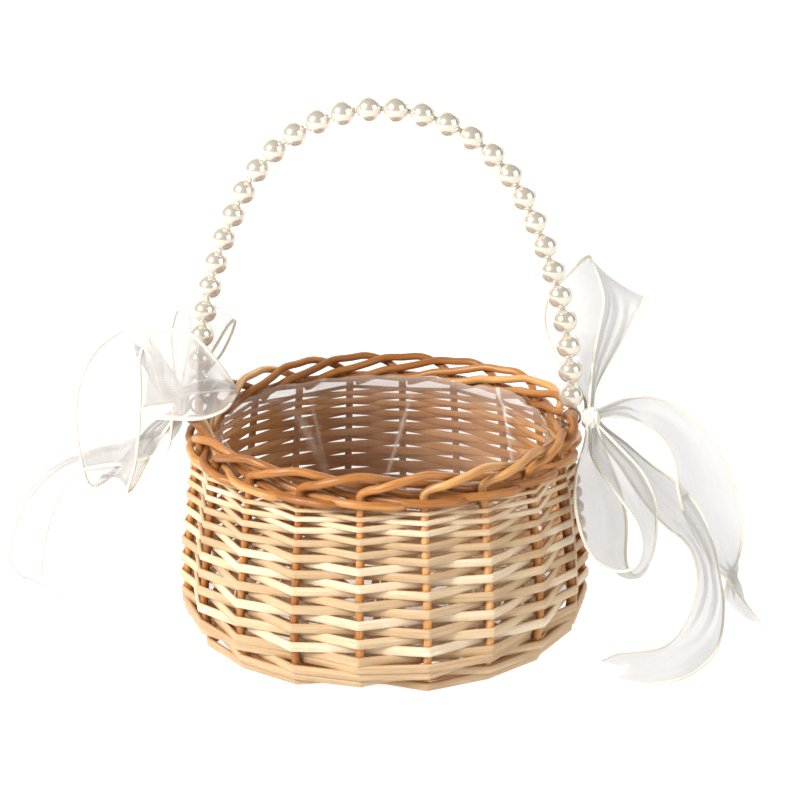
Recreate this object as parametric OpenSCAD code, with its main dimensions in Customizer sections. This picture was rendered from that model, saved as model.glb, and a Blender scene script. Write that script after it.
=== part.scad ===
// Flower girl basket: a small round willow basket with a hoop handle strung
// with pearls and a sheer ribbon bow at each foot of the handle.
// Millimetres, +Z up. Origin on the floor, on the basket's own axis.
// X runs through the two feet of the handle, -Y is the front.

/* [Basket wall] */
// radius of the wall at its fullest, outside the weave
belly_r = 103.5; // [102.5:0.5:105]
// how much narrower the wall is at the top of the weave
top_draw = 7.5; // [6.5:0.5:8]
// height of the rim, at the centre of the top border rod
rim_z = 104.3; // [103.8:0.5:108.3]
// diameter of the upright willow rods
stake_d = 4.0; // [3.4:0.1:4.1]
// thickness of the split willow woven round the wall
strip_t = 1.7; // [1.2:0.1:1.8]
// thickness of the heavier strips at the foot of the wall
wale_t = 2.2; // [1.6:0.1:2.3]
// gap left between one woven row and the next
row_gap = 0.2; // [0.1:0.05:0.6]

/* [Base] */
// height of the foot hoop
hoop_h = 4.0; // [3:0.5:4]
// diameter of the six base sticks
stick_d = 4.0; // [3:0.1:4]

/* [Liner] */
// thickness of the clear film
film_t = 0.5; // [0.4:0.1:0.7]

/* [Handle] */
// diameter of one pearl
pearl_d = 12.0; // [10:0.5:12.4]
// diameter of the hole through a pearl
pearl_hole = 2.9; // [2.8:0.1:4]
// diameter of the thread-covered handle wire
wire_d = 2.2; // [1.6:0.1:2.3]
// radius of the wire eye, to the centre of the wire
eye_r = 4.4; // [4.2:0.1:4.5]
// diameter of the wire that forms the eye
eye_wire = 1.4; // [1.0:0.1:1.5]

/* [Ribbon] */
// thickness the sheer ribbon is drawn with
ribbon_t = 0.9; // [0.7:0.1:1.2]
// radius of the tied knot of each bow
knot_r = 5.5; // [4.5:0.5:5.5]

/* [Hidden] */
hoop_r = belly_r - 14.2;
stakes = 20;
step = 360 / stakes;
rows = 20;
row_z0 = 15.4;
row_z1 = rim_z - 18.2;
pitch_low = 4.6;
pitch_sum = row_z1 - row_z0;
pitch_drop = (rows * pitch_low - pitch_sum) / row_sq(rows);
band_z = [2.9, 5.9, 9.0, 12.2, 15.4];
band_lean = [30, 20, 9, 0];
clear = 0.15;
foot_x = 92.5;
bead_x = 92.0;
bead_z = rim_z + 11.05;
side_r = 220.9;
side_a0 = 1.22;
side_a1 = 27.74;
top_r = 75.3;
side_cx = bead_x - side_r * cos(side_a0);
side_cz = bead_z - side_r * sin(side_a0);
top_cz = side_cz + (side_r - top_r) * sin(side_a1);
side_len = side_r * (side_a1 - side_a0) * PI / 180;
top_len = top_r * (90 - side_a1) * PI / 180;
half_len = side_len + top_len;
pearls = 30;
zr = rim_z / 104.3;

willow_tan = [0.72, 0.50, 0.30];
willow_pale = [0.90, 0.80, 0.62];
willow_buff = [0.82, 0.67, 0.45];
film_grey = [0.80, 0.79, 0.82, 0.5];
pearl_white = [0.95, 0.93, 0.88];
thread_white = [0.85, 0.83, 0.80];
ribbon_cream = [0.96, 0.94, 0.88];

function row_sq(n, i = 0) = i >= n ? 0 : pow(i / (rows - 1), 2) + row_sq(n, i + 1);
function row_base(n) = row_z0 + n * pitch_low - pitch_drop * row_sq(n);

// outside radius of the weave at height z: a barrel, rounded in at the foot
function wall_r(z) = z >= 25
    ? belly_r - top_draw * pow((z - 25) / 61, 1.3)
    : belly_r - 10.5 * (1 - sqrt(1 - pow((25 - z) / 25, 2)));
// radius of the uprights' centres, between the two faces of the weave
function stake_r(z) = wall_r(z) - 3.8;

function round_at(a, r, z) = [r * sin(a), -r * cos(a), z];
function unit(v) = v / norm(v);
function ease(t) = t * t * (3 - 2 * t);

// A rod swept along points: the section is a regular polygon square to the
// path, with its first corner kept level with the axis of the basket.
module swept_rod(pts, rad, sides = 6) {
    n = len(pts);
    tang = [for (i = [0:n - 1]) unit(pts[min(i + 1, n - 1)] - pts[max(i - 1, 0)])];
    ref = [for (i = [0:n - 1]) unit([pts[i][0], pts[i][1], 0.001])];
    side = [for (i = [0:n - 1]) unit(cross(tang[i], ref[i]))];
    up = [for (i = [0:n - 1]) cross(side[i], tang[i])];
    ring = [for (i = [0:n - 1], j = [0:sides - 1])
        pts[i] + rad[i] * (cos(360 * j / sides) * up[i] + sin(360 * j / sides) * side[i])];
    polyhedron(
        points = ring,
        faces = concat(
            [[for (j = [0:sides - 1]) j]],
            [for (i = [0:n - 2], j = [0:sides - 1], h = [0, 1])
                h == 0
                    ? [i * sides + j, (i + 1) * sides + j, i * sides + (j + 1) % sides]
                    : [(i + 1) * sides + j, (i + 1) * sides + (j + 1) % sides, i * sides + (j + 1) % sides]],
            [[for (j = [sides - 1:-1:0]) (n - 1) * sides + j]]),
        convexity = 10);
}

// The border: each upright leans over to the right, crosses the top of the
// rim, dips inside, comes out low and stops against the fourth upright on.
function border_r(u) =
    u <= 1 ? lookup(u, [[0, 91.2], [0.12, 91.7], [1 / 3, 94.6], [2 / 3, 94.8], [1, 92.5]])
    : u <= 2 ? 92.5 - 7 * ease(u - 1)
    : u <= 3 ? 85.5 + 10.4 * ease(u - 2)
    : 95.9;
function border_z(u) = rim_z - 104.3 + (
    u <= 1 ? lookup(u, [[0, 95], [0.12, 97.2], [1 / 3, 99.6], [2 / 3, 102.9], [1, 104.3]])
    : u <= 2 ? 104.3 - 4.8 * ease(u - 1)
    : u <= 3 ? 99.5 - 7.2 * ease(u - 2)
    : 92.3 - 4.1 * ease(u - 3));
border_u = [0, 0.12, 1 / 3, 2 / 3, 1, 4 / 3, 5 / 3, 2, 7 / 3, 8 / 3, 3, 10 / 3, 3.6, 3.85];
upright_z = [3.0, 5.2, 8, 11.5, 15.5, 20, 26, 36, 48, 60, 72, 82, 90];

module stake(k) {
    up = [for (z = upright_z) round_at(k * step, stake_r(z), z)];
    over = [for (u = border_u) round_at((k + u) * step, border_r(u), border_z(u))];
    pts = concat(up, over);
    swept_rod(pts, [for (i = [0:len(pts) - 1]) stake_d / 2]);
}

// A closed woven strip: s gives the side of the uprights it passes at each
// upright and half way to the next (+1 outside, -1 inside, 0 crossing over).
// Where the wall leans out over the foot, the strip is set off square to it.
module woven_ring(z0, z1, t, off, s, lean = 0) {
    n = len(s);
    function ring_pt(i, z, e) = round_at(i * step / 2,
        stake_r(z) + (off * s[i] + e) * cos(lean), z - (off * s[i] + e) * sin(lean));
    pts = [for (i = [0:n - 1]) each [
        ring_pt(i, z0, -t / 2), ring_pt(i, z0, t / 2),
        ring_pt(i, z1, t / 2), ring_pt(i, z1, -t / 2)]];
    polyhedron(
        points = pts,
        faces = [for (i = [0:n - 1], j = [0:3], h = [0, 1])
            let (a = i * 4, b = ((i + 1) % n) * 4, k = (j + 1) % 4)
            h == 0 ? [a + j, a + k, b + j] : [a + k, b + k, b + j]],
        convexity = 20);
}

module weave_row(i) {
    off = stake_d / 2 + clear + strip_t / 2;
    flip = i % 2 == 0 ? 1 : -1;
    woven_ring(row_base(i), row_base(i + 1) - row_gap, strip_t, off,
        [for (j = [0:stakes * 2 - 1]) j % 2 == 1 ? 0 : (floor(j / 2) % 2 == 0 ? flip : -flip)]);
}

// A heavy strip at the foot: outside three uprights, then behind one.
module wale_rod(m) {
    off = stake_d / 2 + clear + wale_t / 2;
    woven_ring(band_z[m], band_z[m + 1] - 0.25, wale_t, off,
        [for (j = [0:stakes * 2 - 1])
            let (k = floor(j / 2), a = k % 4 == m ? -1 : 1, b = (k + 1) % 4 == m ? -1 : 1)
            j % 2 == 0 ? a : (a + b) / 2], band_lean[m]);
}

// The foot hoop the base is woven into; its flat underside stands on the floor.
module foot_hoop() {
    color(willow_buff)
    rotate_extrude($fn = 96)
    polygon([[hoop_r - 7, 0], [hoop_r - 0.8, 0], [hoop_r, 0.8], [hoop_r, hoop_h - 0.8],
        [hoop_r - 0.8, hoop_h], [hoop_r - 7, hoop_h]]);
}

// Six base sticks: three lie across the other three and all fan out to twelve
// even arms whose ends rest on the foot hoop.
module base_sticks() {
    arm_z = hoop_h + stick_d / 2 + 0.1;
    color(willow_tan)
    for (g = [0, 1], m = [-1, 0, 1]) {
        lift = g == 0 ? 0 : stick_d + 0.3;
        d = stick_d + 0.6;
        near = [18, m * d, arm_z + lift];
        mid = [32 * cos(30 * m), 32 * sin(30 * m), arm_z];
        far = [(hoop_r - 2.6) * cos(30 * m), (hoop_r - 2.6) * sin(30 * m), arm_z];
        pts = [
            [-far[0], far[1], far[2]], [-mid[0], mid[1], mid[2]], [-near[0], near[1], near[2]],
            near, mid, far];
        rotate([0, 0, g * 90])
        stick_sweep(pts);
    }
}
module stick_sweep(pts, sides = 6) {
    n = len(pts);
    tang = [for (i = [0:n - 1]) unit(pts[min(i + 1, n - 1)] - pts[max(i - 1, 0)])];
    side = [for (i = [0:n - 1]) unit(cross(tang[i], [0, 0, 1]))];
    up = [for (i = [0:n - 1]) cross(side[i], tang[i])];
    ring = [for (i = [0:n - 1], j = [0:sides - 1])
        pts[i] + stick_d / 2 * (cos(360 * j / sides) * up[i] + sin(360 * j / sides) * side[i])];
    polyhedron(
        points = ring,
        faces = concat(
            [[for (j = [0:sides - 1]) j]],
            [for (i = [0:n - 2], j = [0:sides - 1], h = [0, 1])
                h == 0
                    ? [i * sides + j, (i + 1) * sides + j, i * sides + (j + 1) % sides]
                    : [(i + 1) * sides + j, (i + 1) * sides + (j + 1) % sides, i * sides + (j + 1) % sides]],
            [[for (j = [sides - 1:-1:0]) (n - 1) * sides + j]]),
        convexity = 10);
}

// The woven floor: rounds that pass over and under the twelve arms in turn.
module base_weave() {
    arm_z = hoop_h + stick_d / 2 + 0.1;
    lift = stick_d / 2 + 0.15 + 0.9;
    color(willow_buff)
    for (m = [0:8]) {
        r0 = hoop_r - 53.1 + m * 5.1;
        r1 = r0 + 4.8;
        n = 24;
        pts = [for (i = [0:n - 1])
            let (s = i % 2 == 1 ? 0 : (floor(i / 2) + m) % 2 == 0 ? 1 : -1, z = arm_z + s * lift, a = i * 15)
            each [
                [r0 * cos(a), r0 * sin(a), z - 0.9], [r1 * cos(a), r1 * sin(a), z - 0.9],
                [r1 * cos(a), r1 * sin(a), z + 0.9], [r0 * cos(a), r0 * sin(a), z + 0.9]]];
        polyhedron(
            points = pts,
            faces = [for (i = [0:n - 1], j = [0:3], h = [0, 1])
                let (a = i * 4, b = ((i + 1) % n) * 4, k = (j + 1) % 4)
                h == 0 ? [a + j, b + j, a + k] : [a + k, b + j, b + k]],
            convexity = 20);
    }
}

// The clear film bag that lines the inside, open at the top.
module liner() {
    inner = 8.7;
    out = concat([[0, 12.8], [88, 12.8], [91.5, 15.2]],
        [for (z = [19, 26, 40, 56, 72, 84]) [wall_r(z) - inner, z]],
        [[82.4, rim_z - 8.3], [82.4, rim_z - 1.3]]);
    in = concat([[82.4 - film_t, rim_z - 1.3], [82.4 - film_t, rim_z - 8.4]],
        [for (z = [84, 72, 56, 40, 26, 19]) [wall_r(z) - inner - film_t, z]],
        [[91.5 - film_t - 0.2, 15.5], [88 - 0.3, 12.8 + film_t], [0, 12.8 + film_t]]);
    color(film_grey)
    rotate_extrude($fn = 96)
    polygon(concat(out, in));
}

// A point and direction on the centre of the handle arch, s millimetres from
// its left foot; the arch is three arcs that run smoothly into each other.
function arch_half(s) = s <= side_len
    ? let (a = side_a0 + s / side_r * 180 / PI)
        [side_cx + side_r * cos(a), side_cz + side_r * sin(a), a]
    : let (a = side_a1 + (s - side_len) / top_r * 180 / PI)
        [top_r * cos(a), top_cz + top_r * sin(a), a];

module handle_wire() {
    color(thread_white)
    union() {
        for (m = [0, 1]) mirror([m, 0, 0]) {
            translate([foot_x, 0, rim_z]) rotate([90, 0, 0])
                rotate_extrude($fn = 48) translate([eye_r, 0]) circle(d = eye_wire, $fn = 24);
            translate([bead_x, 0, rim_z + eye_r - 0.05])
                cylinder(d = eye_wire + 0.2, h = bead_z - rim_z - eye_r + 0.6, $fn = 24);
            translate([side_cx, 0, side_cz]) rotate([90, 0, 0]) rotate([0, 0, side_a0])
                rotate_extrude(angle = side_a1 - side_a0, $fn = 96)
                translate([side_r, 0]) circle(d = wire_d, $fn = 24);
        }
        translate([0, 0, top_cz]) rotate([90, 0, 0]) rotate([0, 0, side_a1])
            rotate_extrude(angle = 180 - 2 * side_a1, $fn = 96)
            translate([top_r, 0]) circle(d = wire_d, $fn = 24);
    }
}

// Thirty pearls threaded on the wire, each bored through along it.
module pearl_beads() {
    color(pearl_white)
    for (m = [0, 1], i = [0:pearls / 2 - 1]) mirror([m, 0, 0]) {
        p = arch_half(i * 2 * half_len / (pearls - 1));
        translate([p[0], 0, p[1]]) rotate([0, -p[2], 0])
            difference() {
                sphere(d = pearl_d, $fn = 48);
                cylinder(d = pearl_hole, h = pearl_d + 2, center = true, $fn = 24);
            }
    }
}

// A strip of ribbon between two edge lines.
module ribbon(a, b, t = ribbon_t) {
    n = len(a);
    nrm = [for (i = [0:n - 1])
        unit(cross((a[min(i + 1, n - 1)] + b[min(i + 1, n - 1)] - a[max(i - 1, 0)] - b[max(i - 1, 0)]), b[i] - a[i]))];
    pts = [for (i = [0:n - 1]) each [
        a[i] - nrm[i] * t / 2, b[i] - nrm[i] * t / 2,
        b[i] + nrm[i] * t / 2, a[i] + nrm[i] * t / 2]];
    polyhedron(
        points = [for (p = pts) [p[0], p[1], p[2] * zr]],
        faces = concat([[0, 1, 2], [0, 2, 3]],
            [for (i = [0:n - 2], j = [0:3], h = [0, 1])
                let (a = i * 4, b = a + 4, k = (j + 1) % 4)
                j == 2
                    ? (h == 0 ? [a + j, b + k, a + k] : [a + j, b + j, b + k])
                    : (h == 0 ? [a + j, b + j, a + k] : [a + k, b + j, b + k])],
            [[4 * n - 4, 4 * n - 2, 4 * n - 3], [4 * n - 4, 4 * n - 1, 4 * n - 2]]),
        convexity = 10);
}

// The knot: a short drum round the pivot of the handle, just outside the eye.
module knot() {
    translate([98.2, 0, rim_z]) rotate([0, 90, 0])
        rotate_extrude($fn = 48)
        polygon([[0, 0], [knot_r - 1.5, 0], [knot_r, 2], [knot_r, 5.6], [knot_r - 1.5, 7.6], [0, 7.6]]);
}

module bow_right_knot() { color(ribbon_cream) knot(); }
module bow_left_knot() { color(ribbon_cream) mirror([1, 0, 0]) knot(); }

// Right bow, upper loop: stands behind the pearls, folds at the top and
// comes back down beside them.
module bow_right_upper_loop() {
    color(ribbon_cream)
    ribbon(
        [[98.6, 3.8, 110.6], [90, 12, 122], [80, 18, 138], [77, 23, 155], [81, 27, 168],
            [85, 24, 174.5], [87, 17, 171], [85, 12.5, 155], [87, 10, 138], [93, 8.6, 122], [100, 1.0, 110.6]],
        [[104.5, 3.8, 110.6], [108, 12, 123], [115, 18, 139], [121, 24, 152], [125, 29, 161],
            [127, 26, 166], [125, 18, 162], [119, 13, 148], [114, 10, 136], [108, 6.6, 121], [105, 1.0, 110.6]]);
}

// Right bow, lower loop: hangs down outside the wall and turns up again.
module bow_right_lower_loop() {
    color(ribbon_cream)
    ribbon(
        [[99.2, -3.8, 97.9], [98.2, -18, 88], [99, -30, 72], [98.6, -38, 56], [102, -38.5, 40],
            [109, -34, 29.5], [113, -25, 34], [112, -20, 50], [108, -15, 68], [104.5, -9, 86], [101, -0.8, 97.9]],
        [[104.5, -3.8, 97.9], [108, -8, 86], [116, -13, 70], [124, -14.5, 54], [129, -15, 41],
            [128, -13.5, 32.5], [125, -6, 38], [128, 0, 55], [126, 4, 72], [114, 1, 88], [106, -0.8, 97.9]]);
}

// Right bow, rear tail: arches out to the side and down to the floor.
module bow_right_tail_rear() {
    color(ribbon_cream)
    ribbon(
        [[106.5, -2.6, 104.6], [116, -3, 107], [128, -2, 103], [138, 2, 93], [146, 5, 77], [151, 6, 60],
            [158, 8, 44], [166, 9, 31], [171, 8, 21], [179, -2, 10], [190, -8, 1.6]],
        [[106.5, 2.6, 104.6], [117, 6, 111.5], [132, 13, 111], [148, 18, 101], [162, 20, 84], [172, 21, 62],
            [176, 20, 42], [178, 16, 29], [176, 11.5, 20.5], [173, 9, 10.5], [171, 2, 1.6]]);
}

// Right bow, front tail: falls beside the lower loop and runs forward on
// the floor.
module bow_right_tail_front() {
    color(ribbon_cream)
    ribbon(
        [[107.2, -2.2, 98.5], [118, -5, 86], [131, -9, 68], [142, -16, 48], [147, -24, 30], [146, -36, 13],
            [140, -46, 4], [131, -51, 1.6], [122, -51, 1.6], [112, -49, 1.6]],
        [[107.2, 2.2, 98.5], [121, 4, 90], [139, 2, 72], [157, -3, 51], [169, -8, 31], [173, -19, 14],
            [166, -36, 4], [152, -61, 1.6], [134, -78, 1.6], [116, -79, 1.6]]);
}

// Left bow, front lobe: a loop that stands up in front of the pearls.
module bow_left_upper_loop() {
    color(ribbon_cream)
    ribbon(
        [[-104.5, -3.4, 110.6], [-110, -11, 119], [-113, -17, 129], [-112, -22, 140], [-106, -23, 147.5],
            [-105, -16, 143], [-109, -12.5, 129], [-107, -6.5, 118], [-105, -1.0, 110.6]],
        [[-99, -3.4, 110.6], [-90, -10.4, 118.5], [-80, -15.5, 123.5], [-73, -20.5, 130], [-74, -24, 139],
            [-79, -18, 135], [-89, -13.0, 125], [-98, -7.6, 117], [-100.5, -1.0, 110.6]]);
}

// Left bow, hanging loop: goes out level, rises, turns over and hangs down
// well clear of the wall before it comes back.
module bow_left_hanging_loop() {
    color(ribbon_cream)
    ribbon(
        [[-106.5, 3.0, 104.6], [-115.5, 5, 110], [-118.5, 8, 127], [-126, 10, 139.5], [-137, 10, 137],
            [-147, 10, 122], [-155, 9, 98], [-157, 8, 74], [-154.5, 6, 58], [-146, 12, 60], [-134, 10, 80],
            [-120, 7, 92], [-106.8, 2.6, 99.6]],
        [[-106.5, -3.0, 104.6], [-115.5, -5, 108], [-118, -6, 119], [-122, -7, 126], [-128, -8, 118],
            [-131, -8, 104], [-133, -8, 86], [-134, -8, 70], [-135, -5, 57.5], [-130, 1, 61], [-123, 2, 80],
            [-114, -1.5, 90], [-106.8, -2.6, 99.6]]);
}

// Left bow, tail along the wall: drops from the knot, then runs out to the
// left and reaches the floor.
module bow_left_tail_long() {
    color(ribbon_cream)
    ribbon(
        [[-101, 2.8, 97.9], [-107, 7, 84], [-112, 11, 66], [-124, 14, 50], [-142, 16, 44], [-160, 17, 44],
            [-174, 18, 34], [-184, 20, 18], [-186, 22, 5], [-176, 24, 1.6], [-158, 12, 1.6]],
        [[-101, -2.8, 97.9], [-106.5, -8, 82], [-110, -14, 62], [-120, -18, 40], [-136, -17, 31], [-150, -13, 26],
            [-160, -9, 17], [-165, -6, 9], [-166, -5, 4], [-161, -4, 1.6], [-152, -12, 1.6]]);
}

// Uprights, woven rows and foot strips, one module for each real piece.
module stake_01() { color(willow_tan) stake(0); }
module stake_02() { color(willow_tan) stake(1); }
module stake_03() { color(willow_tan) stake(2); }
module stake_04() { color(willow_tan) stake(3); }
module stake_05() { color(willow_tan) stake(4); }
module stake_06() { color(willow_tan) stake(5); }
module stake_07() { color(willow_tan) stake(6); }
module stake_08() { color(willow_tan) stake(7); }
module stake_09() { color(willow_tan) stake(8); }
module stake_10() { color(willow_tan) stake(9); }
module stake_11() { color(willow_tan) stake(10); }
module stake_12() { color(willow_tan) stake(11); }
module stake_13() { color(willow_tan) stake(12); }
module stake_14() { color(willow_tan) stake(13); }
module stake_15() { color(willow_tan) stake(14); }
module stake_16() { color(willow_tan) stake(15); }
module stake_17() { color(willow_tan) stake(16); }
module stake_18() { color(willow_tan) stake(17); }
module stake_19() { color(willow_tan) stake(18); }
module stake_20() { color(willow_tan) stake(19); }
module weave_row_01() { color(willow_pale) weave_row(0); }
module weave_row_02() { color(willow_pale) weave_row(1); }
module weave_row_03() { color(willow_pale) weave_row(2); }
module weave_row_04() { color(willow_pale) weave_row(3); }
module weave_row_05() { color(willow_pale) weave_row(4); }
module weave_row_06() { color(willow_pale) weave_row(5); }
module weave_row_07() { color(willow_pale) weave_row(6); }
module weave_row_08() { color(willow_pale) weave_row(7); }
module weave_row_09() { color(willow_pale) weave_row(8); }
module weave_row_10() { color(willow_pale) weave_row(9); }
module weave_row_11() { color(willow_pale) weave_row(10); }
module weave_row_12() { color(willow_pale) weave_row(11); }
module weave_row_13() { color(willow_pale) weave_row(12); }
module weave_row_14() { color(willow_pale) weave_row(13); }
module weave_row_15() { color(willow_pale) weave_row(14); }
module weave_row_16() { color(willow_pale) weave_row(15); }
module weave_row_17() { color(willow_pale) weave_row(16); }
module weave_row_18() { color(willow_pale) weave_row(17); }
module weave_row_19() { color(willow_pale) weave_row(18); }
module weave_row_20() { color(willow_pale) weave_row(19); }
module wale_rod_1() { color(willow_pale) wale_rod(0); }
module wale_rod_2() { color(willow_pale) wale_rod(1); }
module wale_rod_3() { color(willow_pale) wale_rod(2); }
module wale_rod_4() { color(willow_pale) wale_rod(3); }

stake_01();
stake_02();
stake_03();
stake_04();
stake_05();
stake_06();
stake_07();
stake_08();
stake_09();
stake_10();
stake_11();
stake_12();
stake_13();
stake_14();
stake_15();
stake_16();
stake_17();
stake_18();
stake_19();
stake_20();
weave_row_01();
weave_row_02();
weave_row_03();
weave_row_04();
weave_row_05();
weave_row_06();
weave_row_07();
weave_row_08();
weave_row_09();
weave_row_10();
weave_row_11();
weave_row_12();
weave_row_13();
weave_row_14();
weave_row_15();
weave_row_16();
weave_row_17();
weave_row_18();
weave_row_19();
weave_row_20();
wale_rod_1();
wale_rod_2();
wale_rod_3();
wale_rod_4();
foot_hoop();
base_sticks();
base_weave();
liner();
handle_wire();
pearl_beads();
bow_right_knot();
bow_left_knot();
bow_right_upper_loop();
bow_right_lower_loop();
bow_right_tail_rear();
bow_right_tail_front();
bow_left_upper_loop();
bow_left_hanging_loop();
bow_left_tail_long();
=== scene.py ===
# Flower girl basket: a round willow basket with a hoop of pearls for a handle
# and a sheer bow at each foot of it. Metres, +Z up, the front faces -Y.
import math

import bmesh
import bpy
import numpy as np
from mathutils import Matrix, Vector, noise


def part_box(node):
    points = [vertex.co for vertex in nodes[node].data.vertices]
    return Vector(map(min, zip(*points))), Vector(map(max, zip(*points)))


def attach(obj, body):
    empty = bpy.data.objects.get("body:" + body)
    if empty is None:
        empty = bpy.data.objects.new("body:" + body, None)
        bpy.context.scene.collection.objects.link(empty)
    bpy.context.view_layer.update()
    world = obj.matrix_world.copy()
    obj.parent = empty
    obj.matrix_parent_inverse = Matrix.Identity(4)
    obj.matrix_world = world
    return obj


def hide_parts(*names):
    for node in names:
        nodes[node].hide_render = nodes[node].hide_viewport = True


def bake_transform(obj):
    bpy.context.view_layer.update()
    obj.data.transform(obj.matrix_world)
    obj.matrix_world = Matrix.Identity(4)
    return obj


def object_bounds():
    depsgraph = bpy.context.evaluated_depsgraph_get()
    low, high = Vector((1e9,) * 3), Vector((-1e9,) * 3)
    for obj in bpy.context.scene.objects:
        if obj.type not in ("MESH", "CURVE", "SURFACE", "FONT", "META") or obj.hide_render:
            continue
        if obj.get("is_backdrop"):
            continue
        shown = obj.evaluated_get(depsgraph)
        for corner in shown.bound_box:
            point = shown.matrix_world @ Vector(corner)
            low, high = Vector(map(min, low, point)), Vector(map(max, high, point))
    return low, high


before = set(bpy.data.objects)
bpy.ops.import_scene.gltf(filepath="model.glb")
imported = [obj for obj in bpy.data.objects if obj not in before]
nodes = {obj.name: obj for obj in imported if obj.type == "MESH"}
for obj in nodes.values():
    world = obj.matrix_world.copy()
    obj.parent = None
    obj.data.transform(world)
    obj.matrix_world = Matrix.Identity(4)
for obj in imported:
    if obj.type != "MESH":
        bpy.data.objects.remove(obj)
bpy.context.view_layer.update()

# ---------------------------------------------------------------- viewpoint
# A tall studio stand looking slightly down on the basket from the front,
# a little round towards its right-hand bow.
turn, tilt, reach = math.radians(5.8), math.radians(18.54), 0.880
back = Vector((math.sin(turn) * math.cos(tilt), -math.cos(turn) * math.cos(tilt), math.sin(tilt)))
across = Vector((math.cos(turn), math.sin(turn), 0.0))
stand = Vector((0, 0, 0.110)) + back * reach + across * 0.0082
lens = bpy.data.cameras.new("studio_camera")
lens.lens, lens.sensor_width, lens.clip_start, lens.clip_end = 80.26, 36.0, 0.02, 30.0
studio_camera = bpy.data.objects.new("studio_camera", lens)
studio_camera.location = stand
studio_camera.rotation_euler = back.to_track_quat("Z", "Y").to_euler()
bpy.context.scene.collection.objects.link(studio_camera)
bpy.context.scene.camera = studio_camera

# ------------------------------------------------------- peeled willow rods
# Whole rods, peeled and boiled so that they turn a warm buff. Each upright
# stands in the wall, then bends over to make its own share of the border.
# This section also holds how a finish is wired and how a rod gets its body.


class Strand:
    """One value on its way through a finish; sums on it add Math nodes."""

    def __init__(self, tree, out):
        self.tree, self.out = tree, out

    def sum_of(self, operation, *others, clamp=False):
        n = self.tree.nodes.new("ShaderNodeMath")
        n.operation, n.use_clamp = operation, clamp
        for i, v in enumerate((self,) + others):
            if isinstance(v, Strand):
                self.tree.links.new(v.out, n.inputs[i])
            else:
                n.inputs[i].default_value = v
        return Strand(self.tree, n.outputs[0])

    def __add__(self, o):
        return self.sum_of("ADD", o)

    def __sub__(self, o):
        return self.sum_of("SUBTRACT", o)

    def __mul__(self, o):
        return self.sum_of("MULTIPLY", o)

    def __rsub__(self, o):
        return self.sum_of("MULTIPLY_ADD", -1.0, o)

    __radd__ = __add__

    def sine(self):
        return self.sum_of("SINE")

    def held(self):
        return self.sum_of("ADD", 0.0, clamp=True)


class Finish:
    """A material built node by node round one Principled shader."""

    def __init__(self, name):
        self.material = bpy.data.materials.new(name)
        self.material.use_nodes = True
        self.tree = self.material.node_tree
        self.tree.nodes.clear()

    def node(self, kind, settings=None, sockets=None, out=0):
        n = self.tree.nodes.new("ShaderNode" + kind)
        for key, value in (settings or {}).items():
            if key == "stops":
                ramp = n.color_ramp
                while len(ramp.elements) < len(value):
                    ramp.elements.new(0.5)
                for e, (at, colour) in zip(ramp.elements, value):
                    e.position, e.color = at, tuple(colour) + (1.0,)
            else:
                setattr(n, key, value)
        for key, value in (sockets or {}).items():
            if isinstance(value, Strand):
                self.tree.links.new(value.out, n.inputs[key])
            else:
                n.inputs[key].default_value = value
        return Strand(self.tree, n.outputs[out]) if len(n.outputs) else n

    def read(self, name):
        return self.node("Attribute", {"attribute_name": name}, out="Fac")

    def place(self):
        return self.node("TexCoord", out="Object")

    def grain(self, vector, scale, detail=2.0, roughness=0.5):
        return self.node("TexNoise", {}, {"Vector": vector, "Scale": scale, "Detail": detail, "Roughness": roughness})

    def point(self, x, y, z):
        return self.node("CombineXYZ", {}, {"X": x, "Y": y, "Z": z})

    def blendin(self, factor, a, b, how="MIX"):
        n = self.tree.nodes.new("ShaderNodeMix")
        n.data_type, n.blend_type = "RGBA", how
        for i, v in ((0, factor), (6, a), (7, b)):
            if isinstance(v, Strand):
                self.tree.links.new(v.out, n.inputs[i])
            else:
                n.inputs[i].default_value = tuple(v) + (1.0,) if i else v
        return Strand(self.tree, n.outputs[2])

    def bump(self, height, strength, distance):
        return self.node("Bump", {}, {"Height": height, "Strength": strength, "Distance": distance})

    def shade(self, **sockets):
        named = {k.replace("_", " "): v for k, v in sockets.items()}
        return self.node("BsdfPrincipled", {}, named)

    def done(self, shader):
        self.node("OutputMaterial", {}, {"Surface": shader})
        return self.material


whole_turn, quarter_turn = 6.2832, 1.5708


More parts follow.
